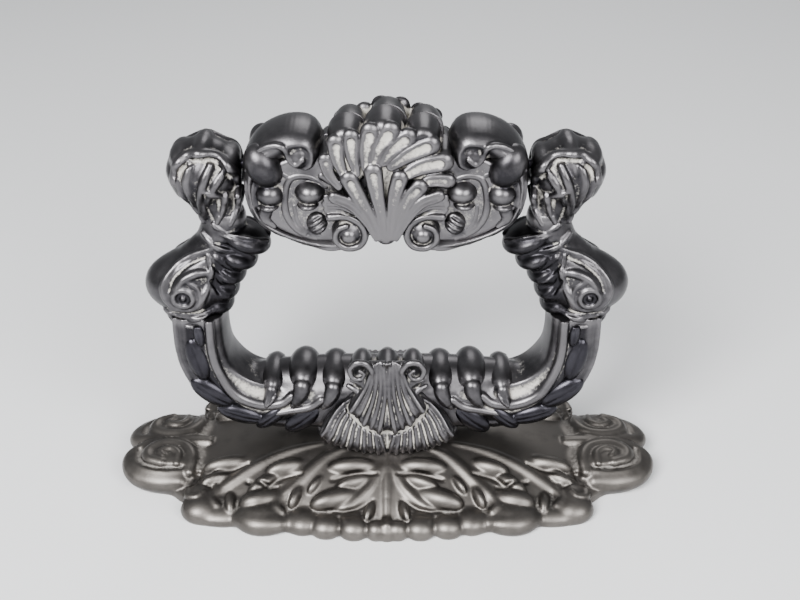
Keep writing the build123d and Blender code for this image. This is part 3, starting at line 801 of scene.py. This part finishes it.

# ---- Crest bosses ----
# Rounded bosses with ringed necks, and thin strapwork that winds between them, fill the scrolls.
# The topmost boss is painted darker.


def model_bulbs():
    wax = wax_block((36, 12, 104), 0.3, (11, 3.5, 74))
    # the topmost boss, then the others, each with the ring at its neck
    dome(wax, (29.8, 6.6, 95.8), (4.4, 4.4, 6.0), 0.6, turn=-28)
    smear(wax, [(29, 9, 98, 3.4), (30, 9, 93, 3.0)], -0.6)
    dome(wax, (28.5, 6.2, 88.4), (3.7, 4.2, 3.4), 0.2)
    dome(wax, (28.9, 6.6, 85.4), (2.7, 3.8, 1.2), 0.1)
    coil(wax, [(29.6, 6.8, 84.2, 1.9), (30.0, 7.0, 81.8, 1.5), (28.0, 7.2, 79.8, 0.8)], 0.2)
    dome(wax, (18.7, 6.0, 89.0), (4.0, 4.8, 3.3), 0.2)
    dome(wax, (19.3, 6.8, 85.8), (2.8, 3.8, 1.2), 0.1)
    dome(wax, (17.2, 6.0, 80.8), (2.9, 4.0, 3.4), 0.2)
    # strapwork, and a few hatched lines on the lowest boss
    for mark in [
        [(14.6, 90.4, 0.6), (18.8, 93.0, 0.7), (23.2, 92.6, 0.8), (24.9, 88.0, 0.9), (24.6, 82.6, 0.9),
         (21.8, 78.4, 0.8), (17.6, 76.4, 0.6)],
        [(22.6, 85.2, 0.6), (22.0, 81.2, 0.6), (19.6, 78.2, 0.6), (16.0, 77.0, 0.5)],
        [(24.4, 93.4, 0.6), (27.2, 94.6, 0.7), (31.0, 93.2, 0.7), (33.0, 89.4, 0.7), (33.0, 85, 0.6)],
        [(26.0, 91.9, 0.5), (29.6, 92.4, 0.6), (31.8, 89.0, 0.6), (31.8, 85.6, 0.5)],
        [(15.6, 93.4, 0.9), (13.4, 91.6, 0.7), (11.6, 90.2, 0.4)],
    ]:
        coil(wax, [(x, 6.9, z, r + 0.3) for x, z, r in mark], 0.15)
    for slope in (82.6, 80.8, 79.0):
        groove(wax, [(14.6, slope + 1.4, 0.3), (17.2, slope, 0.4), (19.8, slope - 1.6, 0.3)], 1, 0.0, 0.15)
    smear(wax, [(24, 7.4, 93, 0.8), (25, 7.4, 84, 0.8), (20, 7.4, 77, 0.8)], 0.3)
    return wax


both_faces(model_bulbs, "crest_bulbs", handle_silver, "tarnished_silver_plate")

# ---- Volutes ----
# A spiral volute on each side of the shell's hinge, with a domed eye and a tuft of three petals.
# They are cast with a flat back and soldered on to the bar.


def model_volutes():
    wax = wax_block((16, 12.2, 90), 0.28, (1.5, 4.5, 72.5))
    dome(wax, (9.2, 6.4, 78.8), (4.6, 4.6, 4.3), 0.3)
    spiral = [(13.8, 83.2), (9.8, 83.4), (6.2, 81.4), (5.2, 78.2), (6.8, 75.4), (10.2, 75.0), (12.5, 77.2),
              (12.0, 80.0), (9.8, 81.2)]
    coil(wax, [(x, 9.3 + 0.14 * i, z, 1.15 - 0.05 * i) for i, (x, z) in enumerate(spiral)], 0.3)
    dome(wax, (9.2, 10.2, 78.2), (1.9, 1.3, 1.9), 0.1)
    for tuft in [[(14.4, 88.2), (9.6, 87.2), (5.6, 84.6)], [(14.8, 86.6), (10.4, 86.0), (6.4, 83.4)],
                 [(14.4, 85.0), (11.0, 84.8), (8.0, 83.2)]]:
        petal(wax, [(x, 9.4, z, r) for (x, z), r in zip(tuft, (1.1, 1.1, 0.8))])
    return wax


both_faces(model_volutes, "volutes", handle_silver, "tarnished_silver_plate")

# ---- Crest shells ----
# A scallop shell stands at the middle of each face, cast in one: a fan of ribbed petals under a
# scalloped rim. The rear one is the front one turned round.

# each petal's x, z and half width, from its tip down
UPPER_PETALS = [
    [(-12.0, 103.8, 2.0), (-11.4, 99.2, 1.6), (-9.8, 94.4, 0.9)],
    [(-8.2, 105.2, 2.0), (-8.0, 100.6, 1.6), (-7.0, 95.6, 0.9)],
    [(-3.6, 106.6, 2.2), (-4.6, 101.8, 1.8), (-4.8, 97.0, 1.0)],
    [(1.2, 106.8, 2.3), (-1.4, 102.6, 1.8), (-3.0, 98.0, 1.0)],
    [(5.4, 105.2, 2.2), (1.8, 102.0, 1.8), (-0.6, 98.4, 1.0)],
    [(10.8, 103.2, 2.3), (6.0, 100.8, 2.0), (1.4, 97.4, 1.2)],
    [(14.0, 98.8, 2.3), (8.6, 97.4, 2.1), (3.4, 94.2, 1.3)],
    [(15.2, 94.0, 1.7), (11.2, 93.8, 1.6), (7.6, 92.2, 1.0)],
    [(-14.6, 99.4, 1.6), (-13.6, 95.6, 1.3), (-11.4, 92.0, 0.8)],
]
LOWER_PETALS = [
    [(-12.6, 89.0, 1.4), (-8.2, 87.0, 1.4), (-4.6, 82.6, 1.0), (-2.4, 78.2, 0.6)],
    [(13.0, 89.4, 1.4), (8.4, 87.4, 1.4), (5.0, 83.0, 1.0), (2.6, 78.2, 0.6)],
    [(8.2, 91.6, 2.0), (5.4, 88.6, 1.7), (3.2, 83.4, 1.1), (1.8, 78.4, 0.6)],
    [(-8.8, 93.6, 2.1), (-6.4, 89.0, 1.8), (-3.4, 83.4, 1.2), (-1.5, 78.4, 0.6)],
    [(3.4, 94.0, 2.0), (2.2, 89.6, 1.7), (1.4, 84.0, 1.1), (0.9, 78.4, 0.6)],
    [(-3.0, 95.6, 2.2), (-2.2, 90.4, 1.8), (-1.0, 84.0, 1.2), (-0.4, 78.4, 0.6)],
]


def model_crest_shell():
    """Two tiers of petals that swirl to the right, under a scalloped rim that rolls over the top."""
    wax = wax_block((18, 13.4, 110.2), 0.28, (-18, 0, 74))
    for x, z, r in [(-0.4, 104.2, 4.9), (-9.6, 102.4, 4.7), (9.0, 102.6, 4.5), (-14.2, 98.6, 2.6),
                    (14.2, 98.8, 2.6)]:
        ribbon(wax, [(0.8 * x, 96, r), (x, z, r)], 9.4, 1.6, 0.25, 1.2)
    for x in (-5.2, 4.6):
        smear(wax, [(x, 4, 106, 1.0), (x, 9.4, 103, 1.0)], 0.6)
    for points in UPPER_PETALS:
        petal(wax, [(x, 9.9 + 0.35 * i, z - 1.2 + 0.4 * i, 1.12 * r) for i, (x, z, r) in enumerate(points)])
    # the lower tier lies on a wedge that narrows to the hinge
    ribbon(wax, [(0, 88, 5.4), (0, 80, 2.4)], 9.0, 0.8)
    for points in LOWER_PETALS:
        petal(wax, [(x, 11.3 + 0.25 * i, z, 1.1 * r) for i, (x, z, r) in enumerate(points)])
    dome(wax, (0, 9.4, 77.6), (2.4, 2.6, 1.5), 0.4)
    return wax


crest_wax = model_crest_shell()
for name, flip in (("crest_shell_front", (1, -1, 1)), ("crest_shell_rear", (-1, 1, 1))):
    fit(cast(crest_wax, name, across=(), flip=flip), handle_silver, "tarnished_silver_plate", name)

# ---- Fixings ----
# Brass studs hang from a strap soldered inside the base, and washers and wing nuts on them clamp
# the dish cover from below. The pegs and pins between the castings are filed from the same alloy
# as the castings. These pieces keep the CAD's own shapes.


def aged_brass():
    """Brass handled for a century: yellow where it's rubbed, brown with a dull film elsewhere."""
    material = bpy.data.materials.new("aged_brass")
    material.use_nodes = True
    tree = material.node_tree
    surface = tree.nodes["Principled BSDF"]
    place = node(tree, "ShaderNodeTexCoord").outputs["Object"]
    # sizes of the patches of film and of the file marks
    film_mm, marks_mm = 4, 0.5
    film = node(
        tree, "ShaderNodeTexNoise", {"Scale": MM_PER_METRE / film_mm, "Detail": 5.0, "Roughness": 0.65},
        {"Vector": place},
    )
    marks = node(tree, "ShaderNodeTexNoise", {"Scale": MM_PER_METRE / marks_mm, "Detail": 2.0},
                 {"Vector": place})
    colour = node(
        tree, "ShaderNodeMix", {"data_type": "RGBA", 6: linear("5a4a30"), 7: linear("ab9059")},
        {0: node(tree, "ShaderNodeMapRange", {1: 0.35, 2: 0.65}, {0: film.outputs[0]}).outputs[0]},
    )
    tree.links.new(colour.outputs[2], surface.inputs["Base Color"])
    surface.inputs["Metallic"].default_value = 1.0
    rough = node(tree, "ShaderNodeMath", {"operation": "MULTIPLY_ADD", 1: 0.3, 2: 0.2},
                 {0: film.outputs[0]})
    tree.links.new(rough.outputs[0], surface.inputs["Roughness"])
    bump = node(tree, "ShaderNodeBump", {"Strength": 0.15, "Distance": 0.0001},
                {"Height": marks.outputs[0]})
    tree.links.new(bump.outputs[0], surface.inputs["Normal"])
    return material


def finish_cad_piece(name, material):
    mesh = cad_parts[name].data
    mesh.materials.clear()
    mesh.materials.append(material)


brass = aged_brass()
for name in sorted(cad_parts):
    if any(word in name for word in ("stud", "washer", "nut", "strap")):
        finish_cad_piece(name, brass)
    elif any(word in name for word in ("peg", "pin")):
        finish_cad_piece(name, dark_silver)

# ---- Set ----
# A sheet of pale paper on a table, with a soft window light from the upper left, a weaker fill
# from the right, and a camera that looks down at the handle's front.


def set_up_studio():
    bpy.ops.mesh.primitive_plane_add(size=6)
    floor = bpy.context.object
    floor.name = "table"
    paper = bpy.data.materials.new("pale_table")
    paper.use_nodes = True
    sheet = paper.node_tree.nodes["Principled BSDF"]
    sheet.inputs["Base Color"].default_value = linear("e6e7e8")
    sheet.inputs["Roughness"].default_value = 0.6
    floor.data.materials.append(paper)
    for name, place, aim, size, power in [
        ("window", (-0.35, -0.6, 0.6), (0, -0.12, 0.03), 0.4, 19.0),
        ("fill", (0.45, -0.65, 0.5), (0, -0.12, 0.03), 0.5, 10.0),
        ("back", (0.1, 0.7, 0.6), (0, 0, 0.05), 0.35, 1.2),
    ]:
        data = bpy.data.lights.new(name, "AREA")
        data.size = size
        data.energy = power
        lamp = bpy.data.objects.new(name, data)
        bpy.context.collection.objects.link(lamp)
        lamp.location = place
        beam = Vector(np.array(aim) - np.array(place))
        lamp.rotation_euler = beam.to_track_quat("-Z", "Y").to_euler()
    world = bpy.data.worlds.new("room")
    bpy.context.scene.world = world
    world.use_nodes = True
    sky = world.node_tree.nodes["Background"]
    sky.inputs["Color"].default_value = linear("a8aaad")
    sky.inputs["Strength"].default_value = 0.75


set_up_studio()

LOOKING_DOWN = 30
camera = bpy.data.objects.new("camera", bpy.data.cameras.new("camera"))
camera.data.lens = 52.2
camera.data.sensor_width = 36.0
camera.location = (0.003475, -0.267475, 0.2086)
camera.rotation_euler = (math.radians(90 - LOOKING_DOWN), 0, 0)
bpy.context.collection.objects.link(camera)
bpy.context.scene.camera = camera
